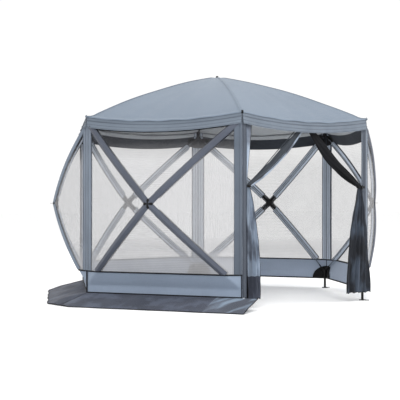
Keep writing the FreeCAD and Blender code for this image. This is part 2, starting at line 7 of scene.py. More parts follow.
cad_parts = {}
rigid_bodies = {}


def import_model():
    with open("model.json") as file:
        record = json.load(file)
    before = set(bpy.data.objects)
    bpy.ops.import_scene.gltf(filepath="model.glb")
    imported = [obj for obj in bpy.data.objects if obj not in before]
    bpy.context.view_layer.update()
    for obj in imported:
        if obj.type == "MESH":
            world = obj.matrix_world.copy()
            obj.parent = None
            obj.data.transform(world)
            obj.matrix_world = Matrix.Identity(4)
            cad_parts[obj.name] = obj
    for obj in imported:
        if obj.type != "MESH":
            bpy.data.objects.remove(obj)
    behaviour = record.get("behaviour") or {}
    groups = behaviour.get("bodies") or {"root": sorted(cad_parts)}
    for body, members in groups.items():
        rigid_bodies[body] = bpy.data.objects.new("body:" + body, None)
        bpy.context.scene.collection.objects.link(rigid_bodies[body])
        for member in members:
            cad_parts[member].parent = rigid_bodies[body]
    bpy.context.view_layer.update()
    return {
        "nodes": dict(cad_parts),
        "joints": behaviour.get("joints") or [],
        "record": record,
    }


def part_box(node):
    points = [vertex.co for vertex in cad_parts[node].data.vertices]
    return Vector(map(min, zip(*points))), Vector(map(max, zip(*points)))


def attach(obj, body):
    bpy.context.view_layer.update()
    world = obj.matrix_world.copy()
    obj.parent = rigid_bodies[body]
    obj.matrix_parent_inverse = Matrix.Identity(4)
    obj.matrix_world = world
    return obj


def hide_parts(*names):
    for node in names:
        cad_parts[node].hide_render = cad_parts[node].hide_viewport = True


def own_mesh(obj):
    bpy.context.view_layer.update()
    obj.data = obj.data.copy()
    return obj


# Looks of a six-sided pop-up screen house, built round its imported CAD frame.
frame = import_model()

# ------------------------------------------------------------ frame measures
JOINTS = {j["name"]: j for j in frame["joints"]}
MOUNTS = {m["name"]: m for m in frame["record"]["mounts"]}
CORNERS = {"left": 180, "front_left": 240, "front_right": 300,
           "right": 0, "back_right": 60, "back_left": 120}
WALLS = {"front_left": 210, "back_left": 150, "back": 90,
         "back_right": 30, "front_right": 330}
CORNER_AT = {angle: name for name, angle in CORNERS.items()}
DOOR = 270
FOLD = "frame_fold"
COS30 = math.cos(math.radians(30))

soles = [Vector(MOUNTS["sole_" + c]["pos_m"]) for c in CORNERS]
CENTRE = sum(soles, Vector()) / 6
FRAME_R = (soles[0] - CENTRE).length
RIM_OVERHANG = 0.014
CLOTH_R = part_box("canopy")[1].x - CENTRE.x - RIM_OVERHANG
RIM = CLOTH_R + RIM_OVERHANG
AP = CLOTH_R * COS30        # centre line to the middle of a wall
HW = CLOTH_R / 2            # half a wall's width
HUB_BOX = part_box("wall_hub_back")
HUB_Z = (HUB_BOX[0].z + HUB_BOX[1].z) / 2
HUB_OUT = (HUB_BOX[0].y + HUB_BOX[1].y) / 2 - CENTRE.y
STRIP_TOP_GAP = 0.025       # the CAD corner strips end this far under the eave
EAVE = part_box("corner_strips")[1].z + STRIP_TOP_GAP
EAVE_OVER_PIN = 0.060
TOP_PIN = EAVE - EAVE_OVER_PIN
FOOT_PIN = 2 * HUB_Z - TOP_PIN
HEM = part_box("skirt_bands")[0].z
BAND_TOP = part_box("skirt_bands")[1].z
SAG = 0.065                 # how far the eave dips at mid-wall
VALANCE = 0.110
INNER_BAND = 0.170
WALL_BOW = 0.045
ROOF_BOW = 0.048
HUB_COVER = 0.026
PUSH = HUB_OUT + HUB_COVER - AP
FLAP_X = CENTRE.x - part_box("ground_flaps")[0].x
FLAP = (FLAP_X - HW / 2) / COS30 - AP
TONGUE = 0.170              # a flap's reach past the doorway's corner
ROOF_PIN = Vector(JOINTS[FOLD]["pos_m"])
ROOF_PIN_R = (Vector((ROOF_PIN.x, ROOF_PIN.y, 0)) - Vector((CENTRE.x, CENTRE.y, 0))).length
CORNER_PIN = Vector(JOINTS["top_corner_turn_left"]["pos_m"])
CORNER_PIN_R = abs(CORNER_PIN.x - CENTRE.x)
ROOF_SLOPE = (ROOF_PIN.z - CORNER_PIN.z) / (CORNER_PIN_R - ROOF_PIN_R)
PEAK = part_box("canopy")[1].z
TIE_Z = (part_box("tie_backs")[0].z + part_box("tie_backs")[1].z) / 2 + 0.022
CURTAIN_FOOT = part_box("door_curtain_left")[0].z

# Thickness of the sewn layers, radius of the cords and width of the tapes.
CLOTH_THICK = 0.0016
SLEEVE_THICK = 0.0014
PIPE = 0.0082
STITCH = 0.0014
SEAM_TAPE = 0.034
STRIP_WIDTH = 0.068
DOOR_STRIP_WIDTH = 0.052
OUTER_SLEEVE = 0.064
INNER_SLEEVE = 0.074
FERRULE_REACH = 0.078       # a rod's black end, from its pin
UP = Vector((0, 0, 1))


def place(angle, out, right, z):
    """Row-frame point from wall coordinates: out and to the right, seen from outside."""
    a = math.radians(angle)
    return Vector((CENTRE.x + math.cos(a) * out - math.sin(a) * right,
                   CENTRE.y + math.sin(a) * out + math.cos(a) * right, z))


def out_of(angle):
    a = math.radians(angle)
    return Vector((math.cos(a), math.sin(a), 0))


def right_of(angle):
    a = math.radians(angle)
    return Vector((-math.sin(a), math.cos(a), 0))


def lerp(a, b, t):
    return a + (b - a) * t


def ripple(p, scale, seed=0.0):
    """Smooth unevenness, the same at every run."""
    return noise.noise(Vector((p[0] * scale + seed, p[1] * scale, p[2] * scale)))


# ----------------------------------------------------------------- materials
def rgb(r, g, b):
    """Linear colour from 8-bit display values."""
    def one(c):
        c /= 255
        return c / 12.92 if c <= 0.04045 else ((c + 0.055) / 1.055) ** 2.4
    return (one(r), one(g), one(b), 1)


class Nodes:
    """Short-hand for wiring one procedural material."""

    def __init__(self, name):
        self.mat = bpy.data.materials.new(name)
        self.mat.use_nodes = True
        self.tree = self.mat.node_tree
        self.tree.nodes.clear()
        self.out = self.add("ShaderNodeOutputMaterial")
        self.bsdf = self.add("ShaderNodeBsdfPrincipled")
        self.link(self.bsdf.outputs[0], self.out.inputs[0])
        self.coords = self.add("ShaderNodeTexCoord")

    def add(self, kind, **values):
        node = self.tree.nodes.new(kind)
        for key, value in values.items():
            if key in node.inputs:
                node.inputs[key].default_value = value
            else:
                setattr(node, key, value)
        return node

    def link(self, a, b):
        self.tree.links.new(a, b)

    def noise(self, scale, detail=3, stretch=None, space="Object"):
        source = self.coords.outputs[space]
        if stretch is not None:
            mapping = self.add("ShaderNodeMapping", Scale=stretch)
            self.link(source, mapping.inputs[0])
            source = mapping.outputs[0]
        node = self.add("ShaderNodeTexNoise", Scale=scale, Detail=detail)
        self.link(source, node.inputs["Vector"])
        return node.outputs[0]

    def threads(self, pitch, axis):
        """Ridges of one thread direction, across the UV axis, in metres."""
        node = self.add("ShaderNodeTexWave", Scale=math.pi / 10 / pitch,
                        bands_direction=axis, wave_type="BANDS")
        self.link(self.coords.outputs["UV"], node.inputs["Vector"])
        return node.outputs["Fac"]

    def math(self, operation, a, b):
        node = self.add("ShaderNodeMath", operation=operation)
        for socket, value in zip(node.inputs, (a, b)):
            if isinstance(value, (int, float)):
                socket.default_value = value
            else:
                self.link(value, socket)
        return node.outputs[0]

    def ramp(self, source, low, high):
        node = self.add("ShaderNodeMapRange", clamp=True)
        node.inputs["From Min"].default_value = low
        node.inputs["From Max"].default_value = high
        self.link(source, node.inputs["Value"])
        return node.outputs[0]

    def mix(self, factor, a, b, mode="MIX"):
        node = self.add("ShaderNodeMix", data_type="RGBA", blend_type=mode)
        for socket, value in ((node.inputs[0], factor), (node.inputs[6], a), (node.inputs[7], b)):
            if isinstance(value, (int, float, tuple)):
                socket.default_value = value
            else:
                self.link(value, socket)
        return node.outputs[2]

    def colour(self, source):
        self.link(source, self.bsdf.inputs["Base Color"])

    def rough(self, source, low, high):
        node = self.add("ShaderNodeMapRange")
        node.inputs["To Min"].default_value = low
        node.inputs["To Max"].default_value = high
        self.link(source, node.inputs["Value"])
        self.link(node.outputs[0], self.bsdf.inputs["Roughness"])

    def bump(self, height, strength, distance):
        node = self.add("ShaderNodeBump", Strength=strength, Distance=distance)
        self.link(height, node.inputs["Height"])
        self.link(node.outputs[0], self.bsdf.inputs["Normal"])


def cloth(name, light, dark, pitch=0.0018, mottle=0.35, rough=(0.62, 0.82), crease=0.5,
          blotch=None, blotch_stretch=(1, 1, 0.45), specular=0.5, sheen=0.12):
    """Woven polyester: threads, fine slub, soft tonal patches and small creases."""
    n = Nodes(name)
    patches = n.ramp(n.noise(2.2, 4), 0.35, 0.68)
    slub = n.noise(70, 4, (1, 1, 0.35))
    grain = n.noise(420, 2)
    tone = n.math("ADD", n.math("MULTIPLY", patches, mottle),
                  n.math("MULTIPLY", slub, 0.45))
    tone = n.ramp(n.math("ADD", tone, n.math("MULTIPLY", grain, 0.25)), 0.1, 0.85)
    base = n.mix(tone, dark, light)
    if blotch is not None:
        base = n.mix(n.ramp(n.noise(6.5, 3, blotch_stretch), 0.47, 0.62), base, blotch)
    n.colour(base)
    n.rough(slub, *rough)
    weave = n.math("MULTIPLY", n.threads(pitch, "X"), n.threads(pitch, "Y"))
    soft = n.noise(9, 5, (1, 1, 0.5))
    height = n.math("ADD", n.math("MULTIPLY", weave, 0.10),
                    n.math("ADD", n.math("MULTIPLY", soft, crease), n.math("MULTIPLY", slub, 0.12)))
    n.bump(height, 0.55, 0.012)
    n.bsdf.inputs["Sheen Weight"].default_value = sheen
    n.bsdf.inputs["Sheen Roughness"].default_value = 0.5
    n.bsdf.inputs["Specular IOR Level"].default_value = specular
    return n.mat


def netting(name, colour, solid, pitch=0.0022):
    """Fine insect mesh: threads that shut out part of the light, with soft moire."""
    n = Nodes(name)
    open_wave = n.math("MULTIPLY", n.threads(pitch, "X"), n.threads(pitch, "Y"))
    drift = n.noise(5, 4)
    moire = n.math("MULTIPLY", n.threads(0.019, "X"), n.threads(0.019, "Y"))
    shade = n.math("ADD", n.math("MULTIPLY", drift, 0.5), n.math("MULTIPLY", moire, 0.5))
    pale = n.mix(shade, colour, tuple(min(1, c * 1.25) for c in colour[:3]) + (1,))
    height = n.add("ShaderNodeSeparateXYZ")
    n.link(n.coords.outputs["Object"], height.inputs[0])
    # Darker and more open towards the eave; paler and more opaque towards the skirt, as painted light
    # over the shade seen through the low mesh.
    thin = n.ramp(height.outputs["Z"], 1.48, 1.68)
    n.colour(n.mix(thin, pale, (0.05, 0.05, 0.055, 1)))
    n.bsdf.inputs["Roughness"].default_value = 0.85
    cover = n.math("ADD", n.math("MULTIPLY", moire, 0.10),
                   n.math("ADD", n.math("MULTIPLY", open_wave, 0.06), solid))
    cover = n.math("ADD", cover, n.math("MULTIPLY", n.math("SUBTRACT", drift, 0.5), 0.10))
    cover = n.math("SUBTRACT", cover, n.math("MULTIPLY", thin, 0.15))
    # Painted light: the low mesh is made more opaque so its pale colour hides the shade seen through it.
    low_painted_light = n.ramp(height.outputs["Z"], 0.62, 0.46)
    cover = n.math("ADD", cover, n.math("MULTIPLY", low_painted_light, 0.24))
    n.link(cover, n.bsdf.inputs["Alpha"])
    n.bump(open_wave, 0.2, 0.001)
    return n.mat


def webbing(name, light, dark, pitch=0.0035):
    """Ribbed woven tape."""
    n = Nodes(name)
    ribs = n.threads(pitch, "Y")
    cross = n.threads(pitch * 0.6, "X")
    slub = n.noise(160, 3)
    n.colour(n.mix(n.ramp(n.math("ADD", n.math("MULTIPLY", ribs, 0.5), slub), 0.3, 1.1), dark, light))
    n.rough(slub, 0.6, 0.85)
    n.bump(n.math("ADD", n.math("MULTIPLY", ribs, 0.7), n.math("MULTIPLY", cross, 0.3)), 0.6, 0.0012)
    n.bsdf.inputs["Specular IOR Level"].default_value = 0.25
    return n.mat


def moulded(name, light, dark, rough=(0.38, 0.6)):
    """Moulded plastic: spark-eroded grain, edge sheen and faint flow marks."""
    n = Nodes(name)
    grain = n.noise(900, 3)
    flow = n.noise(25, 4)
    n.colour(n.mix(n.ramp(flow, 0.35, 0.7), dark, light))
    n.rough(n.math("ADD", n.math("MULTIPLY", flow, 0.6), n.math("MULTIPLY", grain, 0.4)), *rough)
    n.bump(grain, 0.25, 0.0006)
    n.bsdf.inputs["Specular IOR Level"].default_value = 0.3
    return n.mat


def fibre_rod(name, light, dark):
    """Pultruded rod: fine streaks, satin resin and small scuffs."""
    n = Nodes(name)
    streak = n.noise(60, 5)
    scuff = n.ramp(n.noise(240, 2), 0.6, 0.75)
    base = n.mix(streak, dark, light)
    n.colour(n.mix(n.math("MULTIPLY", scuff, 0.35), base, rgb(150, 156, 163)))
    n.rough(streak, 0.3, 0.5)
    n.bump(streak, 0.15, 0.0006)
    return n.mat


def ground(name):
    """Pale studio floor with a trace of unevenness."""
    n = Nodes(name)
    n.colour(n.mix(n.noise(1.2, 3), (0.96, 0.96, 0.96, 1), (0.98, 0.98, 0.98, 1)))
    n.bsdf.inputs["Roughness"].default_value = 0.9
    n.bsdf.inputs["Specular IOR Level"].default_value = 0.1
    return n.mat


ROOF_CLOTH = cloth("roof_polyester", rgb(112, 125, 140), rgb(102, 115, 130), mottle=0.25)
ROOF_LINING = cloth("roof_lining", rgb(184, 188, 192), rgb(166, 170, 174), mottle=0.2)
TRIM_CLOTH = cloth("trim_polyester", rgb(102, 113, 125), rgb(88, 98, 110), mottle=0.35)
# Lighter copy of the trim cloth for the sleeves' and strips' inner faces: painted light against the
# shade inside the house.
TRIM_INNER_PAINTED_LIGHT = cloth("trim_inner_painted_light", rgb(196, 206, 220), rgb(178, 188, 202), mottle=0.3)
BAND_CLOTH = cloth("skirt_polyester", rgb(138, 152, 171), rgb(122, 135, 153), mottle=0.3)
# Lighter copy of the skirt cloth for the band's inner face: painted light against the shade inside the
# house.
BAND_INNER_PAINTED_LIGHT = cloth("skirt_inner_painted_light", rgb(168, 181, 201), rgb(150, 163, 182), mottle=0.3)
STRIP_CLOTH = cloth("strip_polyester", rgb(112, 123, 137), rgb(90, 100, 114), mottle=0.45)
# Darker strip cloth for the front-left corner: painted shade.
STRIP_CORNER_SHADE = cloth("strip_corner_painted_shade", rgb(88, 97, 109), rgb(70, 78, 89), mottle=0.45, specular=0.3)
STRIP_SHADE = cloth("strip_door_side_painted_shade", rgb(72, 79, 90), rgb(56, 62, 72), mottle=0.45, specular=0.25)
SLEEVE_CLOTH = cloth("sleeve_polyester", rgb(74, 80, 94), rgb(52, 57, 69), mottle=0.4)
DARK_CLOTH = cloth("dark_polyester", rgb(56, 61, 68), rgb(38, 42, 48), mottle=0.4, sheen=0.0,
                   specular=0.25)
FLAP_CLOTH = cloth("flap_polyester", rgb(72, 76, 88), rgb(54, 58, 68), mottle=0.5, crease=0.9,
                   blotch=rgb(82, 88, 102), sheen=0.04, specular=0.2)
# Flap cloth with pale stretched streaks: painted highlights.
FLAP_HIGHLIGHT = cloth("flap_painted_highlight", rgb(76, 81, 93), rgb(56, 61, 71), mottle=0.5, crease=0.9,
                   blotch=rgb(122, 137, 154), blotch_stretch=(0.22, 1.5, 1), sheen=0.04)
CURTAIN_CLOTH = cloth("curtain_polyester", rgb(42, 46, 54), rgb(14, 15, 18), mottle=0.7,
                      crease=1.0, blotch=rgb(66, 75, 88), sheen=0.03, specular=0.3)
CURTAIN_PALE = cloth("curtain_face", rgb(150, 164, 182), rgb(108, 119, 134), mottle=0.6,
                     crease=0.9, blotch=rgb(72, 79, 92))
CURTAIN_DARK = cloth("curtain_roll", rgb(20, 21, 24), rgb(6, 6, 7), mottle=0.6, crease=0.9,
                     sheen=0.0, specular=0.1)
MESH = netting("insect_mesh", (0.40, 0.40, 0.41, 1), 0.37)
DARK_CORD = webbing("dark_cord", rgb(44, 48, 56), rgb(28, 31, 37), 0.002)
PIPING = webbing("black_piping", rgb(26, 28, 33), rgb(10, 11, 13), 0.002)
SLATE_CORD = webbing("slate_cord", rgb(74, 81, 93), rgb(52, 57, 67), 0.002)
BLACK_WEB = webbing("black_webbing", rgb(16, 16, 18), rgb(4, 4, 5))
BLACK_PLASTIC = moulded("black_nylon", rgb(17, 17, 19), rgb(8, 8, 9))
ROD = fibre_rod("grey_fibreglass", rgb(96, 102, 110), rgb(62, 67, 74))


# ------------------------------------------------------------- mesh builders
CREASE_ANGLE = 0.8


class Sheet:
    """Collects grids and cords, then becomes one piece."""

    def __init__(self):
        self.points = []
        self.faces = []
        self.slots = []
        self.uvs = []
        self.mats = []
        self.cords = set()

    def slot_of(self, material):
        if material not in self.mats:
            self.mats.append(material)
        return self.mats.index(material)

    def grid(self, fn, nu, nv, material, size=(1, 1), face_to=None):
        """fn(u, v) gives a point; size is the cloth's rough width and height for its weave."""
        base = len(self.points)
        slot = self.slot_of(material)
        turn = False
        if face_to is not None:
            p = fn(0.5, 0.5)
            turn = (fn(0.55, 0.5) - p).cross(fn(0.5, 0.55) - p).dot(face_to) < 0
        for i in range(nu + 1):
            for j in range(nv + 1):
                self.points.append(fn(i / nu, j / nv))
        for i in range(nu):
            for j in range(nv):
                a = base + i * (nv + 1) + j
                quad = [a, a + nv + 1, a + nv + 2, a + 1]
                u0 = i / nu * size[0]
                u1 = (i + 1) / nu * size[0]
                v0 = j / nv * size[1]
                v1 = (j + 1) / nv * size[1]
                uv = [(u0, v0), (u1, v0), (u1, v1), (u0, v1)]
                self.faces.append(quad[::-1] if turn else quad)
                self.slots.append(slot)
                self.uvs.append(uv[::-1] if turn else uv)

    def tube(self, path, radius, material, sides=6, flat=1.0):
        """Cord along a list of points."""
        def ring(t, k):
            i = min(int(round(t * (len(path) - 1))), len(path) - 1)
            p = path[i]
            a = path[max(i - 1, 0)]
            b = path[min(i + 1, len(path) - 1)]
            d = (b - a).normalized()
            side = d.cross(UP)
            side = (side if side.length > 0.05 else d.cross(Vector((1, 0, 0)))).normalized()
            up = side.cross(d)
            angle = 2 * math.pi * k
            return p + side * (radius * math.cos(angle)) + up * (radius * flat * math.sin(angle))
        length = sum((path[i + 1] - path[i]).length for i in range(len(path) - 1))
        base = len(self.points)
        first_face = len(self.faces)
        self.grid(ring, len(path) - 1, sides, material, (length, 0.02))
        slot = self.slot_of(material)
        for start in (base, base + (len(path) - 1) * (sides + 1)):
            self.faces.append(tuple(range(start, start + sides)))
            self.slots.append(slot)
            self.uvs.append(tuple((0, 0) for _ in range(sides)))
        self.cords.update(range(first_face, len(self.faces)))

    def piece(self, name, body, slot, replaces=(), thick=0.0, merge=0.0004, lining=None,
              gathered=False):
        """Make the object; cloth gets its thickness inwards and a crisp turned edge.

        Gathered cloth is thickened evenly round its folds instead.
        """
        mesh = bpy.data.meshes.new(name)
        mesh.from_pydata([tuple(p) for p in self.points], [], self.faces)
        layer = mesh.uv_layers.new(name="UVMap")
        for i, uv in enumerate([uv for face in self.uvs for uv in face]):
            layer.data[i].uv = uv
        if lining is not None:
            self.slot_of(lining)
        for material in self.mats:
            mesh.materials.append(material)
        for polygon, index in zip(mesh.polygons, self.slots):
            polygon.material_index = index
            polygon.use_smooth = True
        bm = bmesh.new()
        bm.from_mesh(mesh)
        cord = bm.faces.layers.int.new("cord")
        for i, face in enumerate(bm.faces):
            face[cord] = int(i in self.cords)
        # Taken in mesh order, so that every run merges the same vertices.
        used = [v for v in bm.verts if any(not f[cord] for f in v.link_faces)]
        bmesh.ops.remove_doubles(bm, verts=used, dist=merge)
        bmesh.ops.dissolve_degenerate(bm, edges=bm.edges, dist=1e-5)
        if thick and not gathered:
            sheets = [f for f in bm.faces if not f[cord]]
            made = bmesh.ops.solidify(bm, geom=sheets, thickness=thick)
            if lining is not None:
                for item in made["geom"]:
                    if isinstance(item, bmesh.types.BMFace):
                        item.material_index = self.mats.index(lining)
        for edge in bm.edges:
            edge.smooth = edge.calc_face_angle(0) < CREASE_ANGLE
        bm.to_mesh(mesh)
        bm.free()
        mesh.validate()
        obj = bpy.data.objects.new(name, mesh)
        bpy.context.scene.collection.objects.link(obj)
        if gathered:
            shell = obj.modifiers.new("thickness", "SOLIDIFY")
            shell.thickness = thick
        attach(obj, body)
        if replaces:
            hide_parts(*replaces)
        return obj


# ------------------------------------------------------------------ surfaces
def eave_at(y):
    v = min(1, abs(y) / HW)
    return EAVE - SAG * (1 - v * v)


def wall_out(y, z, peaked=True):
    """How far out a wall's cloth stands: stretched over four bowed rods, taut between."""
    if not peaked:
        return AP
    end = TOP_PIN if z > HUB_Z else FOOT_PIN
    qy = abs(y) / HW
    qz = abs(z - HUB_Z) / abs(end - HUB_Z)
    q = min(1.0, max(qy, qz))
    if q <= 0:
        return AP + PUSH
    s = 1 - q
    v = min(qy, qz) / max(qy, qz)
    sag = 0.014 * (1 - v * v) * 4 * q * (1 - q)
    return AP + PUSH * s + 4 * WALL_BOW * s * (1 - s) - sag


def wall_point(angle, y, z, lift=0.0, peaked=True):
    out = wall_out(y, z, peaked) + lift
    return place(angle, out + 0.003 * ripple((angle, y, z), 3.1), y, z)


def gore_point(angle, r, v, lift=0.0):
    """Canopy point: r along the seam, v from -1 to 1 between the gore's two seams."""
    chord = CORNER_PIN_R - ROOF_PIN_R
    s = (r - ROOF_PIN_R) / chord
    z = ROOF_PIN.z - s * chord * ROOF_SLOPE + 4 * ROOF_BOW * max(0, s * (1 - s)) * 1.05 + 0.025
    z = min(PEAK - 0.001, z)
    t = r / RIM
    turn = 0.92
    if t > turn:
        z = lerp(z, EAVE + 0.007, ((t - turn) / 0.08) ** 1.5)
    dip = SAG * t * t * (1 - v * v)
    bulge = 0.030 * t ** 4 * (1 - v * v)
    tension = 0.004 * math.sin(v * 17 + r * 3) * t * t * (1 - v * v)
    p = place(angle, r * COS30 + bulge, v * r / 2, z - dip + tension + lift)
    p.z += 0.004 * ripple(p, 2.3, 7) * min(1, r * 2)
    return p


# -------------------------------------------------------------------- canopy
def build_canopy_panel(name, angle):
    """The canopy over one roof rod, to mid-gore on both sides, with its turned-down rim."""
    sheet = Sheet()

    def sector(u, v):
        r = 0.014 + (RIM - 0.014) * u
        if v < 0.5:
            return gore_point(angle - 30, r, v * 2)
        return gore_point(angle + 30, r, -1 + (v - 0.5) * 2)

    def turn_down(u, v):
        p = sector(1, u)
        mid = sector(0.985, u)
        away = Vector((p.x - mid.x, p.y - mid.y, 0)).normalized()
        return p + away * (0.003 * math.sin(v * math.pi / 2)) - UP * (0.014 * v)
    sheet.grid(sector, 56, 36, ROOF_CLOTH, (RIM, 1.7), UP)
    sheet.grid(turn_down, 36, 4, ROOF_CLOTH, (1.7, 0.02), out_of(angle))
    sheet.tube([turn_down(i / 36, 0.8) for i in range(37)], 0.0012, TRIM_CLOTH, 5)
    piece = sheet.piece("canopy_panel_" + name, "roof_pole_" + name, "canopy_cloth",
                        ("canopy",), CLOTH_THICK, lining=ROOF_LINING)
    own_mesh(piece)


def build_canopy_seam(name, angle):
    """Tape over the seam above one roof rod, with a row of stitches at each edge."""
    tape = Sheet()

    def seam(u, v):
        r = 0.05 + (RIM - 0.055) * u
        w = (v - 0.5) * SEAM_TAPE
        rel = 1 - abs(w) / max(r / 2, 0.02)
        if w < 0:
            return gore_point(angle - 30, r, rel, 0.0028)
        return gore_point(angle + 30, r, -rel, 0.0028)
    tape.grid(seam, 60, 6, ROOF_CLOTH, (RIM, SEAM_TAPE), UP)
    for v in (0.14, 0.86):
        tape.tube([seam(i / 60, v) + UP * 0.0007 for i in range(61)], 0.0009, TRIM_CLOTH, 4)
    piece = tape.piece("canopy_seam_" + name, "roof_pole_" + name, "canopy_cloth", (), 0.001)
    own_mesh(piece)


def build_valance(angle, side, peaked):
    """Half of one wall's valance, from its corner to mid-wall."""
    sheet = Sheet()
    corner = CORNER_AT[(angle + 30 * side) % 360]

    def hang(u, v):
        y = side * HW * (1 - u)
        z = eave_at(y) - 0.004 - VALANCE * v
        wave = 0.004 * math.sin(y * 21 + angle) * v + 0.003 * math.sin(y * 47) * v * v
        reach = wall_out(y, max(z, HUB_Z), peaked) + 0.010 + 0.014 * v + wave
        reach = max(reach, AP + 0.012 + 0.030 * (1 - (y / HW) ** 2) * 0.85 + wave)
        return place(angle, reach, y, z)
    out = out_of(angle)
    sheet.grid(hang, 44, 14, TRIM_CLOTH, (HW, VALANCE), out)
    for v in (0.06, 0.30, 0.36, 0.66, 0.92):
        sheet.tube([hang(i / 44, v) + out * 0.0008 for i in range(45)], STITCH, SLEEVE_CLOTH, 4)
    wall = "door" if angle == DOOR else next(w for w, a in WALLS.items() if a == angle)
    tag = "left" if side < 0 else "right"
    piece = sheet.piece("valance_%s_%s" % (wall, tag), "top_corner_" + corner, "canopy_cloth",
                        ("eave_bands",), CLOTH_THICK, lining=DARK_CLOTH)
    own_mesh(piece)


# --------------------------------------------------------------------- walls
def fold_with_rod(piece):
    """Gives a piece, carried by one wall rod, its own copy of its mesh."""
    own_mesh(piece)


def tag_of(side, rise):
    return ("upper" if rise > 0 else "lower") + ("_left" if side < 0 else "_right")


def inner_depth(wall):
    """How far the dark band reaches down inside; the near walls' is nearly hidden."""
    if wall in ("back", "back_right", "front_right"):
        return INNER_BAND
    return VALANCE + 0.012


def build_screen(wall, angle, side, rise):
    """Mesh of a wall's quarter, in two flanks that meet over the rod."""
    body = "wall_pole_%s_%s" % (wall, tag_of(side, rise))
    end = TOP_PIN if rise > 0 else FOOT_PIN
    out = out_of(angle)

    def limit(y, z):
        if rise > 0:
            return min(z, eave_at(y) - inner_depth(wall) + 0.006)
        return max(z, BAND_TOP - 0.006)

    def flank(u, v):
        q = 0.02 + 0.98 * u
        y = side * HW * q
        return wall_point(angle, y, limit(y, HUB_Z + (end - HUB_Z) * q * v))

    def crown(u, v):
        q = 0.02 + 0.98 * u
        y = side * HW * q * v
        return wall_point(angle, y, limit(y, HUB_Z + (end - HUB_Z) * q))
    sheet = Sheet()
    sheet.grid(flank, 40, 18, MESH, (HW, HW), out)
    sheet.grid(crown, 40, 18, MESH, (HW, HW), out)
    piece = sheet.piece("screen_%s_%s" % (wall, tag_of(side, rise)), body, "mesh",
                        ("screen_" + wall,), merge=0.0008)
    fold_with_rod(piece)


def add_corner_patch(sheet, angle, side, middle, radius, sign, lift):
    """Black quarter-round patch inside a corner, opening down (-1) or up (1)."""
    def patch(u, v):
        a = u * math.pi / 2
        y = side * (HW - 0.004 - 1.25 * radius * v * math.cos(a))
        z = middle + sign * radius * 1.05 * v * math.sin(a)
        return wall_point(angle, y, z, lift)
    sheet.grid(patch, 14, 8, BLACK_WEB, (radius, radius), out_of(angle))


def build_upper_band(wall, angle, side):
    """Dark band inside under the eave, with the pale strip of lining above it."""
    body = "wall_pole_%s_%s" % (wall, tag_of(side, 1))
    out = out_of(angle)
    band = Sheet()

    def panel(u, v, low=inner_depth(wall), high=0.050, lift=-0.003):
        y = side * HW * (1 - u)
        return wall_point(angle, y, eave_at(y) - lerp(high, low, v), lift)
    band.grid(lambda u, v: panel(u, v, 0.052, 0.008), 44, 4, ROOF_LINING, (HW, 0.044), out)
    band.grid(panel, 44, 8, DARK_CLOTH, (HW, INNER_BAND), out)
    band.tube([panel(i / 44, 1) for i in range(45)], 0.0022, PIPING, 5)
    add_corner_patch(band, angle, side, EAVE - 0.085, 0.120, -1, -0.009)
    piece = band.piece("band_%s_%s" % (wall, tag_of(side, 1)), body, "dark_cloth",
                       ("reinforcing_patches",), CLOTH_THICK)
    fold_with_rod(piece)


def build_lower_band(wall, angle, side):
    """Skirt band with a lighter inner face, painted light against the shade inside, piped along both
    edges and down the corner.
    """
    body = "wall_pole_%s_%s" % (wall, tag_of(side, -1))
    out = out_of(angle)
    high = BAND_TOP - HEM
    band = Sheet()

    def panel(u, v, lift=0.003):
        y = side * HW * (1 - u)
        return wall_point(angle, y, lerp(HEM, BAND_TOP, v), lift)
    band.grid(panel, 44, 14, BAND_CLOTH, (HW, high), out)
    band.grid(lambda u, v: panel(u, v, -0.002), 44, 14, BAND_INNER_PAINTED_LIGHT, (HW, high), out)
    for v in (1, 0):
        band.tube([panel(i / 44, v) + out * 0.001 for i in range(45)], PIPE, PIPING, 6)
    for v in (1, 0):
        band.tube([panel(i / 44, v, -0.004) for i in range(45)], PIPE, PIPING, 6)
    for lift in (0.011, -0.006):
        band.tube([wall_point(angle, side * (HW - 0.002), lerp(HEM, BAND_TOP, i / 12), lift)
                   for i in range(13)], 0.0040, PIPING, 6)
    add_corner_patch(band, angle, side, HEM + 0.002, 0.140, 1, -0.010)
    piece = band.piece("band_%s_%s" % (wall, tag_of(side, -1)), body, "canopy_cloth",
                       ("skirt_bands",), CLOTH_THICK)
    fold_with_rod(piece)


def rod_lines(side, rise):
    """Directions along and across a rod, as the wall's (0, right, up)."""
    run = Vector((0, side * HW, rise * (TOP_PIN - HUB_Z))).normalized()
    return run, Vector((0, -run.z, run.y))


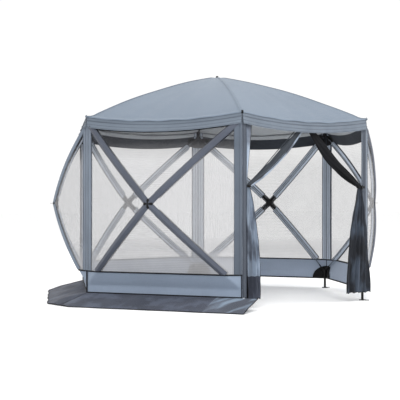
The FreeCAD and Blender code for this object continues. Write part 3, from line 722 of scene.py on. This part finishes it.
def build_sleeve(wall, angle, side, rise):
    """Pole sleeve: a flat outer half and an inner half bulging in round the rod."""
    body = "wall_pole_%s_%s" % (wall, tag_of(side, rise))
    run, lateral = rod_lines(side, rise)
    if rise < 0:
        far = abs((BAND_TOP - HUB_Z) / run.z)
        inner_far = far
    else:
        far = abs((EAVE - VALANCE + 0.012 - HUB_Z) / run.z)
        inner_far = abs((EAVE - inner_depth(wall) - 0.02 - HUB_Z) / run.z)

    def over_band(z):
        return max(z, BAND_TOP + 0.004) if rise < 0 else z

    def strip(u, v, lift, width):
        p = run * lerp(0.010, far, u) + lateral * ((v - 0.5) * width)
        hump = 0.012 * (1 - (2 * v - 1) ** 2)
        return wall_point(angle, p.y, over_band(HUB_Z + p.z), lift + hump)

    def wrap(u, v, lift=-0.005, width=INNER_SLEEVE):
        side_way = 2 * v - 1
        p = run * lerp(0.118, inner_far, u) + lateral * (side_way * width / 2)
        q = abs(p.y) / HW
        depth = (0.031 + 0.022 * q * q) * (1 - abs(side_way) ** 3)
        return wall_point(angle, p.y, over_band(HUB_Z + p.z), lift - depth)
    face = STRIP_CLOTH if wall in ("back_left", "back") else SLEEVE_CLOTH
    out = out_of(angle)
    sleeve = Sheet()
    sleeve.grid(lambda u, v: strip(u, v, 0.005, OUTER_SLEEVE), 46, 8, face,
                (far, OUTER_SLEEVE), out)
    # The inner half's lighter cloth is painted light against the shade inside the house.
    sleeve.grid(wrap, 46, 14, TRIM_INNER_PAINTED_LIGHT, (far, INNER_SLEEVE), -out)
    for v in (0.0, 1.0):
        sleeve.tube([strip(i / 46, v, 0.005, 0.065) for i in range(47)], 0.0016, SLATE_CORD, 5)
        sleeve.tube([wrap(i / 46, v, -0.006) for i in range(47)], 0.0058, DARK_CORD, 5)
    for v in (0.36, 0.64):
        sleeve.tube([wrap(i / 46, v, -0.0066) for i in range(47)], 0.0034, DARK_CORD, 4)
    sleeve.piece("sleeve_%s_%s" % (wall, tag_of(side, rise)), body, "dark_cloth",
                 ("pole_sleeves",), SLEEVE_THICK)


def build_socket(wall, angle, side, rise):
    """Rounded cover over the rod's root, swelling at its free end."""
    run, lateral = rod_lines(side, rise)

    def grip(u, v):
        a = 2 * math.pi * v
        lip = 0.0035 * math.exp(-((u - 0.86) / 0.10) ** 2)
        root = 0.009 * math.exp(-(u / 0.12) ** 2)
        wide = 0.0125 + lip + root
        wide *= min(1, math.sqrt(max(0.02, (1 - u) * 9)))
        p = run * lerp(0.052, 0.122, u)
        middle = wall_out(p.y, HUB_Z + p.z) - 0.026
        p += lateral * (wide * math.cos(a))
        return place(angle, middle + 0.85 * wide * math.sin(a), p.y, HUB_Z + p.z)
    socket = Sheet()
    socket.grid(grip, 20, 16, BLACK_PLASTIC, (0.09, 0.08))
    tag = tag_of(side, rise)
    socket.piece("rod_socket_%s_%s" % (wall, tag), "wall_pole_%s_%s" % (wall, tag), "black_plastic")


def build_quarter(wall, angle, side, rise):
    """All the layers of one wall that fold with one of its four rods."""
    build_screen(wall, angle, side, rise)
    if rise > 0:
        build_upper_band(wall, angle, side)
    else:
        build_lower_band(wall, angle, side)
    build_sleeve(wall, angle, side, rise)
    build_socket(wall, angle, side, rise)


def build_strip(name, angle):
    """Corner strip: two taped halves bent round the corner, edged and lined with a lighter inner face
    that is painted light against the shade inside.
    """
    sheet = Sheet()
    for side in (1, -1):
        wall_angle = (angle + 30 * side) % 360
        out = out_of(wall_angle)

        def tape(u, v, lift=0.007, hand=-side, wall_angle=wall_angle,
                 width=DOOR_STRIP_WIDTH if wall_angle == DOOR else STRIP_WIDTH,
                 peaked=wall_angle != DOOR):
            y = hand * (HW + 0.002 - width * v)
            z = lerp(HEM if wall_angle == DOOR else BAND_TOP - 0.004, EAVE - 0.016, u)
            ridge = 0.0025 * math.sin(math.pi * min(1, v * 1.6))
            return wall_point(wall_angle, y, z, lift + (ridge if lift > 0 else -ridge), peaked)
        # The front-left corner's strip is darker: painted shade.
        face = STRIP_CORNER_SHADE if name == "front_left" else STRIP_CLOTH
        # Painted shade: the door-side half of each strip is darker, for the curtain's shadow on it.
        if wall_angle == DOOR:
            face = STRIP_SHADE
        sheet.grid(tape, 60, 6, face, (EAVE - HEM, STRIP_WIDTH), out)
        sheet.grid(lambda u, v: tape(u, v, -0.006), 60, 6, TRIM_INNER_PAINTED_LIGHT, (EAVE - HEM, STRIP_WIDTH), -out)
        for v, lift, radius in ((1.0, 0.008, 0.0022), (0.30, 0.0102, 0.0012),
                                (1.0, -0.008, 0.0030), (0.55, -0.0092, 0.0014), (0.18, -0.0092, 0.0018)):
            sheet.tube([tape(i / 60, v, lift) for i in range(61)], radius, SLATE_CORD, 5)
    piece = sheet.piece("corner_strip_" + name, "top_corner_" + name, "canopy_cloth",
                        ("corner_strips",), SLEEVE_THICK)
    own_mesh(piece)


def build_flap(wall, angle, side, gusset, tongue):
    """Half of a ground flap, from under the hem out to the ground.

    A gusset end meets the next flap at the corner's plane; a square end runs on
    past the corner by the tongue.
    """
    corner = CORNER_AT[(angle + 30 * side) % 360]
    sheet = Sheet()

    def drape(out, y):
        v = (out - AP - 0.002) / FLAP
        pull = 1 - abs(y) / (HW + 0.3)
        slump = 0.014 * math.sin(math.pi * v)
        fan = math.sin(y * 8.0 + 2.6 * v + angle) + 0.5 * math.sin(y * 19 - 3 * v)
        ruck = 0.010 * math.sin(math.pi * min(1, v * 1.15)) * fan * (0.4 + 0.6 * pull)
        z = (HEM - 0.003) * (1 - v) ** 1.15 + slump + ruck
        p = place(angle, out, y, z)
        p.z = max(0.004, p.z + 0.010 * ripple(p, 5, 3) * math.sin(math.pi * min(1, v)))
        return p

    def lay(u, v):
        edge = 0.006 * math.sin(11 * u + angle) * v
        return drape(AP + 0.003 + (FLAP - 0.008 + edge) * v, side * (HW + tongue) * (1 - u))
    # The tongue's outer end carries the painted highlight streaks.
    highlight_cloth = FLAP_HIGHLIGHT if tongue else FLAP_CLOTH
    sheet.grid(lambda u, v: lay(u * 0.42, v), 20, 22, highlight_cloth, (HW, FLAP), UP)
    sheet.grid(lambda u, v: lay(0.42 + u * 0.58, v), 27, 22, FLAP_CLOTH, (HW, FLAP), UP)
    rim = [lay(i / 46, 1) + Vector((0, 0, 0.002)) for i in range(47)]
    if gusset:
        def fill(u, v):
            base = Vector((AP + 0.003 + (FLAP - 0.008) * v, side * HW))
            tip = FLAP_X * v + CLOTH_R * (1 - v) - 0.006 * v
            seam = Vector((tip * COS30, side * tip / 2))
            spot = base.lerp(seam, u)
            z = drape(min(spot.x, AP + FLAP - 0.004), spot.y).z
            z = lerp(z, max(0.004, (HEM - 0.003) * (1 - v) ** 1.1), u)
            return place(angle, spot.x, spot.y, z)
        sheet.grid(fill, 12, 22, FLAP_CLOTH, (0.24, FLAP), UP)
        rim = [fill(1 - i / 12, 1) + Vector((0, 0, 0.002)) for i in range(13)] + rim
        sheet.tube([fill(1, i / 22) + Vector((0, 0, 0.003)) for i in range(23)], 0.0022, SLEEVE_CLOTH, 5)
    else:
        sheet.tube([lay(0, i / 22) + Vector((0, 0, 0.003)) for i in range(23)], 0.0045, PIPING, 6)
    sheet.tube(rim, 0.0045, PIPING, 6)
    tag = "left" if side < 0 else "right"
    piece = sheet.piece("ground_flap_%s_%s" % (wall, tag), "foot_" + corner, "dark_cloth",
                        ("ground_flaps",), CLOTH_THICK)
    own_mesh(piece)


def build_hub_patch(wall, angle):
    """Black diamond sewn over the hub, with a turned edge and a webbing loop across it."""
    sheet = Sheet()
    half = 0.052

    def diamond(u, v):
        y = (u - 0.5 + v - 0.5) * half
        z = HUB_Z + (u - v) * half
        dome = 0.004 * (1 - max(abs(2 * u - 1), abs(2 * v - 1)) ** 4)
        return place(angle, wall_out(y, z) + 0.013 + dome, y, z)
    sheet.grid(diamond, 14, 14, BLACK_WEB, (0.075, 0.075), out_of(angle))
    loop = [diamond(t, 0) for t in (0, .5, 1)] + [diamond(1, t) for t in (.5, 1)]
    loop += [diamond(t, 1) for t in (.5, 0)] + [diamond(0, t) for t in (.5, 0)]
    sheet.tube(loop, 0.0025, BLACK_WEB, 6)
    pull = [diamond(0.5, 0.5) + out_of(angle) * (0.004 + 0.020 * math.sin(t * math.pi / 8))
            + right_of(angle) * ((t / 8 - 0.5) * 0.06) for t in range(9)]
    sheet.tube(pull, 0.0075, BLACK_WEB, 8, flat=0.25)
    sheet.piece("hub_patch_" + wall, "wall_hub_" + wall, "black_webbing",
                ("reinforcing_patches",), CLOTH_THICK)


def build_hub_cap(wall, angle):
    """Turned cap on the hub's inner face."""
    cap = Sheet()

    def dome(u, v):
        a = 2 * math.pi * u
        r = 0.043 * v
        rise = 0.007 * math.sqrt(max(0, 1 - v ** 4)) + 0.0015 * math.exp(-((v - 0.62) / 0.05) ** 2)
        return place(angle, HUB_OUT - 0.0112 - rise, r * math.cos(a), HUB_Z + r * math.sin(a))
    cap.grid(dome, 36, 14, BLACK_PLASTIC, (0.27, 0.045), -out_of(angle))
    cap.piece("hub_cap_" + wall, "wall_hub_" + wall, "black_plastic", (), SLEEVE_THICK)


# ------------------------------------------------------------------- doorway
CURTAIN_TIE = {"left": Vector((AP - 0.025, -0.775, TIE_Z)),
               "right": Vector((AP + 0.012, 0.769, TIE_Z))}
CURTAIN_HANG = {"left": Vector((AP - 0.028, -0.712, CURTAIN_FOOT)),
                "right": Vector((AP + 0.048, 0.694, CURTAIN_FOOT))}
CURTAIN_HAND = {"left": -1, "right": 1}
CURTAIN_HALF = {"left": 0.100, "right": 0.170}
CURTAIN_FOLDS = {"left": 3, "right": 4}


def fold_to_corner(piece):
    """Gives a doorway piece, carried by its corner, its own copy of its mesh."""
    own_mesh(piece)


def add_edge_sheet(roll, hand, cloth_face):
    """The left curtain's hem, hanging along the corner strip above the tie."""
    def edge_sheet(u, v):
        wide = 0.012 + 0.060 * (1 - v) ** 0.8
        y = hand * (HW - 0.062) - hand * wide * u
        x = AP - 0.020 + 0.010 * math.sin(math.pi * u) + 0.006 * math.sin(4 * v + u)
        return place(DOOR, x, y, lerp(EAVE - 0.10, TIE_Z, v))
    roll.grid(edge_sheet, 10, 40, cloth_face, (0.07, 0.7), out_of(DOOR))
    roll.tube([edge_sheet(1, i / 40) for i in range(41)], 0.0032, PIPING, 5)


def build_roll(name, lower, upper):
    """Curtain rolled up from the middle of the eave to its tie."""
    hand = CURTAIN_HAND[name]
    tie = CURTAIN_TIE[name]
    top = Vector((AP - 0.014, hand * 0.020, EAVE - 0.100))
    level = Vector((1, 0, 0))
    normal = (tie - top).normalized().cross(level).normalized()
    girth = 0.030 if hand < 0 else 0.044

    def rolled(u, v):
        swell = math.sin(math.pi * (0.06 + 0.90 * u)) ** 0.8
        spot = top + (tie - top) * u - UP * (0.055 * math.sin(math.pi * u))
        a = 2 * math.pi * v
        folds = 1 + 0.16 * math.sin(3 * a + 5 * u) + 0.08 * math.sin(7 * a - 9 * u)
        wide = (0.012 + girth * swell) * folds
        deep = (0.010 + 0.016 * swell) * folds
        p = spot + normal * (wide * math.cos(a)) + level * (deep * math.sin(a))
        return place(DOOR, p.x, p.y, p.z)
    roll = Sheet()
    roll.grid(lambda u, v: rolled(u, v / 2 - 0.25), 60, 20, lower, (1.0, 0.15))
    roll.grid(lambda u, v: rolled(u, v / 2 + 0.25), 60, 20, upper, (1.0, 0.15))
    if hand < 0:
        roll.tube([rolled(i / 60, 0.27) for i in range(61)], 0.0040, PIPING, 6)
        roll.tube([rolled(i / 60, 0) + UP * 0.030 * (1 - i / 60) ** 0.6 for i in range(61)],
                  0.0045, lower, 6)
        add_edge_sheet(roll, hand, upper)
    piece = roll.piece("curtain_roll_" + name, "top_corner_front_" + name, "dark_cloth",
                       ("door_curtain_" + name,))
    fold_to_corner(piece)


def build_drop(name, outer):
    """Gathered part of a curtain, hanging from its tie to just above the ground."""
    hand = CURTAIN_HAND[name]
    tie = CURTAIN_TIE[name]
    hang = CURTAIN_HANG[name]
    folds = CURTAIN_FOLDS[name]

    def gathered(u, v):
        ease = math.sin(math.pi * v / 2) ** 0.9
        half = 0.020 + (CURTAIN_HALF[name] - 0.020) * ease
        deep = 0.012 + 0.022 * ease
        cx = lerp(tie.x, hang.x, ease)
        cy = lerp(tie.y, hang.y, ease)
        z = lerp(tie.z + 0.010, CURTAIN_FOOT + 0.004, v)
        sway = 0.6 * noise.noise(Vector((v * 2.4, hand * 3.1, 0.4)))
        a = 2 * math.pi * folds * u + sway * 3
        body = math.sin(a) * 0.75 + 0.25 * math.sin(2.3 * a + 4 * v)
        y = cy + half * (2 * u - 1) + 0.010 * ease * math.sin(a + 1.3)
        x = cx + deep * body + 0.006 * noise.noise(Vector((u * 6, v * 9, hand)))
        z += 0.012 * v * math.sin(3 * a + hand) * 0.4
        return place(DOOR, x, y, z)
    drop = Sheet()
    if hand < 0:
        # A painted shadow down the left edge, a pale face and a darker foot.
        edge = 0.14
        foot = 0.8
        face = 1 - edge
        drop.grid(lambda u, v: gathered(edge * u, v), 17, 70, CURTAIN_DARK, (0.12, 1.1))
        drop.grid(lambda u, v: gathered(edge + face * u, foot * v), 103, 56, outer, (0.73, 0.88))
        drop.grid(lambda u, v: gathered(edge + face * u, foot + (1 - foot) * v), 103, 14,
                  FLAP_CLOTH, (0.73, 0.22))
    else:
        drop.grid(gathered, 120, 70, outer, (0.85, 1.1))
    drop.tube([gathered(i / 120, 1) for i in range(121)], 0.0032, PIPING, 5)
    drop.tube([gathered(0 if hand > 0 else 1, i / 70) for i in range(71)], 0.0030, PIPING, 5)
    piece = drop.piece("curtain_drop_" + name, "top_corner_front_" + name, "dark_cloth",
                       ("door_curtain_" + name,), CLOTH_THICK, gathered=True)
    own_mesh(piece)


def build_tie_back(name):
    """Webbing loop round the gathered curtain, with a toggle and a strap to the corner."""
    hand = CURTAIN_HAND[name]
    tie = CURTAIN_TIE[name]
    width = 0.024
    low = TIE_Z - width / 2
    loop = Sheet()

    def band(u, v):
        a = 2 * math.pi * u
        return place(DOOR, tie.x + 0.030 * math.sin(a), tie.y + 0.038 * math.cos(a), low + width * v)

    def strap(u, v):
        return place(DOOR, tie.x - 0.004 * math.sin(math.pi * u),
                     tie.y + hand * (0.037 + 0.040 * u), low + width * v)
    peg = [place(DOOR, tie.x + 0.037, tie.y + 0.004 * math.sin(t), TIE_Z - 0.021 + 0.042 * t / 8)
           for t in range(9)]
    loop.grid(band, 36, 3, BLACK_WEB, (0.22, width))
    loop.tube(peg, 0.0055, BLACK_PLASTIC, 10)
    loop.grid(strap, 8, 3, BLACK_WEB, (0.04, width))
    piece = loop.piece("tie_back_" + name, "top_corner_front_" + name, "black_webbing",
                       ("tie_backs",), 0.002)
    fold_to_corner(piece)


def build_pull_strap():
    """Webbing handle sewn to a round patch at the peak."""
    low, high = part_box("roof_pull_strap")
    middle = (low + high) / 2
    turn = math.radians(36)
    along = Vector((math.sin(turn), math.cos(turn), 0))
    side = Vector((math.cos(turn), -math.sin(turn), 0))
    sheet = Sheet()

    def handle(u, v):
        a = (u - 0.5) * 2.2
        reach = 0.046 * math.sin(a) / math.sin(1.1)
        rise = 0.021 * (math.cos(a) - math.cos(1.1)) / (1 - math.cos(1.1))
        flare = 0.014 * max(0, abs(u - 0.5) * 2 - 0.86) / 0.14
        base = Vector((middle.x, middle.y, low.z + 0.0015))
        return base + along * (reach + math.copysign(flare, a)) + side * ((v - 0.5) * 0.024) \
            + Vector((0, 0, rise))
    sheet.grid(handle, 28, 4, BLACK_WEB, (0.12, 0.024))

    def disc(u, v):
        a = 2 * math.pi * u
        r = 0.054 * v
        return Vector((middle.x + r * math.cos(a), middle.y + r * math.sin(a),
                       low.z + 0.0012 - 0.004 * v * v))
    sheet.grid(disc, 36, 5, TRIM_CLOTH, (0.3, 0.05))
    sheet.tube([disc(i / 36, 0.93) + Vector((0, 0, 0.0006)) for i in range(37)], 0.0010, STRIP_CLOTH, 4)
    sheet.piece("pull_strap", "roof_hub", "black_webbing", ("roof_pull_strap",), 0.002)


def build_corner_tab(name, angle):
    """Short webbing tab for a guy line at the top of a corner."""
    sheet = Sheet()

    def tab(u, v):
        out = FRAME_R + 0.046 + 0.010 * math.sin(math.pi * u)
        return place(angle, out, (v - 0.5) * 0.021, EAVE - 0.004 + 0.033 * (u - 0.35))
    cloth_of = TRIM_CLOTH if name in ("left", "front_right") else BLACK_WEB
    sheet.grid(tab, 8, 3, cloth_of, (0.035, 0.021), out_of(angle))
    sheet.piece("guy_tab_" + name, "top_corner_" + name, "black_webbing", (), 0.003)


def dress_frame():
    """Moulded plastic and fibreglass on the CAD nodes that stay showing."""
    for name, obj in frame["nodes"].items():
        if obj.hide_render:
            continue
        obj.data.materials.clear()
        if "_pole_" in name:
            obj.data.materials.append(ROD)
            obj.data.materials.append(BLACK_PLASTIC)
            verts = obj.data.vertices
            ends = [Vector(JOINTS[j]["pos_m"]) for j in JOINTS
                    if name in (JOINTS[j]["parent"], JOINTS[j]["child"])]
            far = max((v.co for v in verts), key=lambda c: (c - ends[0]).length).copy()
            ends.append(far)
            for polygon in obj.data.polygons:
                if min((polygon.center - e).length for e in ends) < FERRULE_REACH:
                    polygon.material_index = 1
        else:
            obj.data.materials.append(BLACK_PLASTIC)
        for polygon in obj.data.polygons:
            polygon.use_smooth = False


# ------------------------------------------------------------------ assembly
for name, angle in CORNERS.items():
    build_canopy_panel(name, angle)
    build_canopy_seam(name, angle)
for wall, angle in WALLS.items():
    for side in (-1, 1):
        build_valance(angle, side, True)
        for rise in (1, -1):
            build_quarter(wall, angle, side, rise)
    build_hub_patch(wall, angle)
    build_hub_cap(wall, angle)
build_flap("front_left", WALLS["front_left"], -1, True, 0)
build_flap("front_left", WALLS["front_left"], 1, False, TONGUE)
build_flap("back_left", WALLS["back_left"], -1, False, 0)
build_flap("back_left", WALLS["back_left"], 1, True, 0)
for side in (-1, 1):
    build_valance(DOOR, side, False)
for name, angle in CORNERS.items():
    build_strip(name, angle)
    build_corner_tab(name, angle)
build_roll("left", DARK_CLOTH, CURTAIN_PALE)
build_drop("left", CURTAIN_PALE)
build_tie_back("left")
build_roll("right", CURTAIN_DARK, CURTAIN_DARK)
build_drop("right", CURTAIN_CLOTH)
build_tie_back("right")
build_pull_strap()
dress_frame()

# --------------------------------------------------------------------- stage
FLOOR = 60
floor_mesh = bpy.data.meshes.new("floor")
floor_mesh.from_pydata([(-FLOOR, -FLOOR, 0), (FLOOR, -FLOOR, 0), (FLOOR, FLOOR, 0),
                        (-FLOOR, FLOOR, 0)], [], [(0, 1, 2, 3)])
floor_mesh.materials.append(ground("pale_floor"))
floor = bpy.data.objects.new("floor", floor_mesh)
bpy.context.scene.collection.objects.link(floor)

world = bpy.data.worlds.new("studio")
world.use_nodes = True
background = world.node_tree.nodes["Background"]
background.inputs["Color"].default_value = (1, 1, 1, 1)
background.inputs["Strength"].default_value = 1.03
bpy.context.scene.world = world


def lamp(name, size, power, location, target=Vector((0, 0, 1.0))):
    light = bpy.data.lights.new(name, "AREA")
    light.size = size
    light.energy = power
    obj = bpy.data.objects.new(name, light)
    bpy.context.scene.collection.objects.link(obj)
    obj.location = location
    obj.rotation_euler = (Vector(location) - target).to_track_quat("Z", "Y").to_euler()


lamp("key", 7, 900, (-5.0, -8.5, 9.0))
lamp("fill", 8, 380, (8.0, -6.0, 5.0))
lamp("back", 8, 300, (3.0, 9.0, 7.0))

camera = bpy.data.objects.new("camera", bpy.data.cameras.new("camera"))
bpy.context.scene.collection.objects.link(camera)
azimuth = math.radians(-38.22)
yaw = math.radians(0.88)
tilt = math.radians(90 - 0.10)
distance = 12.74
eye_height = 1.11
camera.location = (CENTRE.x + math.sin(azimuth) * distance,
                   CENTRE.y - math.cos(azimuth) * distance, eye_height)
camera.rotation_euler = (tilt, 0, azimuth + yaw)
camera.data.sensor_width = 36
camera.data.lens = 100.08
camera.data.clip_end = 200
bpy.context.scene.camera = camera
bpy.context.scene.view_settings.view_transform = "Standard"
